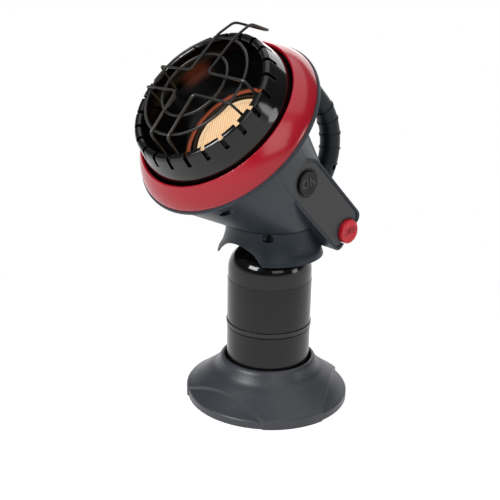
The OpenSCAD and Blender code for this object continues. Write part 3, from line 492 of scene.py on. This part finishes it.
def outline_object(name, loops, thick, matrix, mat):
    """A flat piece from closed outlines of (x, y) points, given a thickness."""
    data = bpy.data.curves.new(name, "CURVE")
    data.dimensions = "2D"
    data.fill_mode = "BOTH"
    data.extrude = thick / 2
    for loop in loops:
        spline = data.splines.new("POLY")
        spline.points.add(len(loop) - 1)
        for point, (x, y) in zip(spline.points, loop):
            point.co = (x, y, 0, 1)
        spline.use_cyclic_u = True
    data.materials.append(mat)
    obj = linked(name, data)
    obj.matrix_world = matrix
    return as_mesh(obj)


def word(name, text, size, matrix, mat):
    """A word in plain raised letters."""
    data = bpy.data.curves.new(name, "FONT")
    data.body = text
    data.size = size
    data.align_x = "CENTER"
    data.align_y = "CENTER"
    data.extrude = 0.0004
    data.bevel_depth = 0.00008
    data.offset = 0.00018
    data.space_character = 1.08
    data.materials.append(mat)
    obj = linked(name, data)
    obj.matrix_world = matrix
    return as_mesh(obj)


def lathe(name, profile, matrix, mat, steps=96):
    """A turned sheet from a closed profile of (radius, height) points."""
    bm = bmesh.new()
    loops = []
    for k in range(steps):
        a = 2 * math.pi * k / steps
        loops.append([bm.verts.new((r * math.cos(a), r * math.sin(a), h)) for r, h in profile])
    count = len(profile)
    for k in range(steps):
        one, two = loops[k], loops[(k + 1) % steps]
        for i in range(count):
            j = (i + 1) % count
            bm.faces.new((one[i], two[i], two[j], one[j]))
    bmesh.ops.recalc_face_normals(bm, faces=bm.faces)
    for face in bm.faces:
        face.smooth = True
    bm.transform(matrix)
    mesh = bpy.data.meshes.new(name)
    bm.to_mesh(mesh)
    bm.free()
    mesh.materials.append(mat)
    return linked(name, mesh)


def axes(x_axis, y_axis, z_axis, at):
    """The matrix of a frame with these axes at this place."""
    m = Matrix.Identity(4)
    for i, axis in enumerate((x_axis, y_axis, z_axis)):
        m.col[i] = (*axis, 0)
    m.translation = at
    return m


def button_face(x, along):
    """A frame on a button's face: x runs back along the word's line, z points out along +X."""
    at = HEAD @ Vector((0, 0, along))
    return axes((0, math.cos(WORD_TURN), math.sin(WORD_TURN)),
                (0, -math.sin(WORD_TURN), math.cos(WORD_TURN)),
                (1, 0, 0), (x, at.y, at.z))


def ring_points(cx, cy, r, count=64, a0=0.0, a1=2 * math.pi):
    turns = [a0 + (a1 - a0) * i / count for i in range(count)]
    return [(cx + r * math.cos(a), cy + r * math.sin(a)) for a in turns]


def panel_outline(inset):
    """The arm's outline, pulled in by inset and cut out round the OFF button.

    Its x runs along the head's axis and its y up the face.
    """
    half = PANEL_HALF - inset
    back = PANEL_BACK + inset + PANEL_CORNER
    side = half - PANEL_CORNER
    tip = math.radians(65)
    round_off = math.radians(93)
    points = ring_points(ON_AT, 0, half, 40, -math.pi / 2, math.pi / 2) + [(ON_AT, half)]
    points += ring_points(back, side, PANEL_CORNER, 9, math.pi / 2, math.pi / 2 + tip)
    points += ring_points(OFF_AT, 0, OFF_NOTCH_R, 40, round_off, -round_off)
    points += ring_points(back, -side, PANEL_CORNER, 9, 1.5 * math.pi - tip, 1.5 * math.pi)
    points += [(back, -half)]
    return points


on_box, off_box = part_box("on_button"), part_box("off_button")
on_text = word("on_word", "ON", ON_WORD_SIZE, button_face(on_box[1].x - WORD_SINK, ON_AT),
               on_word)
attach(on_text, "on_button")
off_text = word("off_word", "OFF", OFF_WORD_SIZE, button_face(off_box[1].x - WORD_SINK, OFF_AT),
                off_word)
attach(off_text, "off_button")

# The bare film on the arm's panel, and a thin black ring round the ON button's hole: painted shade
# of the gap round the button.
panel = axes((0, -math.sin(PITCH), math.cos(PITCH)), (0, math.cos(PITCH), math.sin(PITCH)),
             (-1, 0, 0), (PANEL_X, LIP.y, LIP.z))
film = outline_object("panel_film", [panel_outline(FILM_INSET), ring_points(ON_AT, 0, FILM_HOLE_R)],
                      FILM_THICK, panel, panel_mat)
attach(film, "head")
gap_shade_ring = outline_object(
    "on_gap_shade", [ring_points(ON_AT, 0, GAP_SHADE_R), ring_points(ON_AT, 0, GAP_SHADE_HOLE_R)],
    GAP_SHADE_THICK, panel, on_mat)
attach(gap_shade_ring, "head")

# A dark sheet goes on up inside the curl, so that the slots look dark: painted shade behind the
# slots.
slot_shade_sheet = lathe("slot_shade_lip", SLOT_SHADE_SECTION, HEAD, dish_mat)
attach(slot_shade_sheet, "head")

# A moulded cup behind the OFF button hides its stem and spring at the open end of the arm.
off_axis = axes((0, 0, -1), (0, 1, 0), (1, 0, 0), HEAD @ Vector((0, 0, OFF_AT)))
cup = lathe("off_cup", CUP, off_axis, slate)
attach(cup, "head")


def coil(name, node):
    """A copy of a button's spring with a mesh of its own, carried by the head in place of the
    hidden original.
    """
    obj = linked(name, nodes[node].data.copy())
    smooth(obj)
    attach(obj, "head")
    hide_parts(node)
    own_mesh(obj)


coil("on_coil", "on_spring")
coil("off_coil", "off_spring")


# ---------- stage and light ----------

def seen_rays(g):
    """A light path's outputs, and 1 for a ray that sees the background as it is.

    Those are rays from the camera, from a gloss and through a clear surface.
    """
    path = g.add("ShaderNodeLightPath").outputs
    seen = path["Is Camera Ray"]
    for ray in ("Is Glossy Ray", "Is Transmission Ray"):
        seen = g.math("MAXIMUM", seen, path[ray])
    return path, seen


def stage_mat():
    """White with the object's shadow where it is seen, plain grey to rays that carry light."""
    mat, g = new_material("stage_white")
    _, seen = seen_rays(g)
    shaded = g.add("ShaderNodeAddShader")
    g.put(shaded.inputs[0], g.closure("ShaderNodeEmission", (0.80, 0.80, 0.80)))
    g.put(shaded.inputs[1], g.closure("ShaderNodeBsdfDiffuse", (0.45, 0.45, 0.45)))
    reach = g.add("ShaderNodeVectorMath", operation="LENGTH")
    g.put(reach.inputs[0], g.coord)
    far = g.span(reach.outputs["Value"], *SHADOW_FADE, 0.0, 1.0)
    shown = g.blend(far, shaded.outputs[0], g.closure("ShaderNodeEmission", (1, 1, 1)))
    g.surface(g.blend(seen, g.closure("ShaderNodeBsdfDiffuse", (0.72, 0.72, 0.73)), shown))
    return mat


def light_world(world):
    """White to the camera; to other rays a dim room, whiter low down for glossy rays."""
    g = Graph(world, "ShaderNodeOutputWorld")
    path, seen = seen_rays(g)
    up = g.split(g.coords["Generated"])["Z"]
    ramp = g.add("ShaderNodeValToRGB")
    stops = ramp.color_ramp.elements
    stops[0].position, stops[0].color = 0.40, (0.34, 0.34, 0.35, 1)
    stops[1].position, stops[1].color = 0.95, (0.20, 0.20, 0.21, 1)
    stops.new(0.62).color = (0.07, 0.07, 0.075, 1)
    g.put(ramp.inputs["Fac"], g.span(up, -1.0, 1.0, 0.0, 1.0, smooth=False))
    low = g.math("MULTIPLY", g.span(up, 0.02, 0.20, 1.0, 0.0, smooth=False), seen)
    backdrop = g.mix(low, ramp.outputs["Color"], (1, 1, 1))
    room = g.closure("ShaderNodeBackground", backdrop)
    white = g.closure("ShaderNodeBackground", (1, 1, 1))
    g.surface(g.blend(path["Is Camera Ray"], room, white))


floor_mesh = bpy.data.meshes.new("floor")
bm = bmesh.new()
bmesh.ops.create_circle(bm, cap_ends=True, segments=64, radius=FLOOR_RADIUS)
bm.to_mesh(floor_mesh)
bm.free()
floor_mesh.materials.append(stage_mat())
floor = linked("floor", floor_mesh)
floor.location = (0, 0, -FLOOR_DROP)

scene.world = bpy.data.worlds.new("studio")
light_world(scene.world)


def softbox(name, at, aim, size, power):
    data = bpy.data.lights.new(name, "AREA")
    data.shape = "RECTANGLE"
    data.size, data.size_y = size
    data.energy = power
    obj = bpy.data.objects.new(name, data)
    obj.location = at
    obj.rotation_mode = "QUATERNION"
    obj.rotation_quaternion = (Vector(aim) - Vector(at)).to_track_quat("-Z", "Y")
    scene.collection.objects.link(obj)


CENTRE = (0, 0, 0.22)
softbox("key", (-0.2, -1.9, 1.5), CENTRE, (1.0, 0.8), 36)
softbox("fill", (1.5, -0.6, 1.25), CENTRE, (1.0, 1.0), 6)
softbox("side", (1.75, 0.95, 0.62), (0, -0.08, 0.33), (0.55, 0.45), 3.2)
softbox("top", (0.1, 0.3, 1.9), CENTRE, (2.4, 1.8), 13)
softbox("back", (-0.7, 1.5, 0.9), CENTRE, (1.3, 1.0), 8)
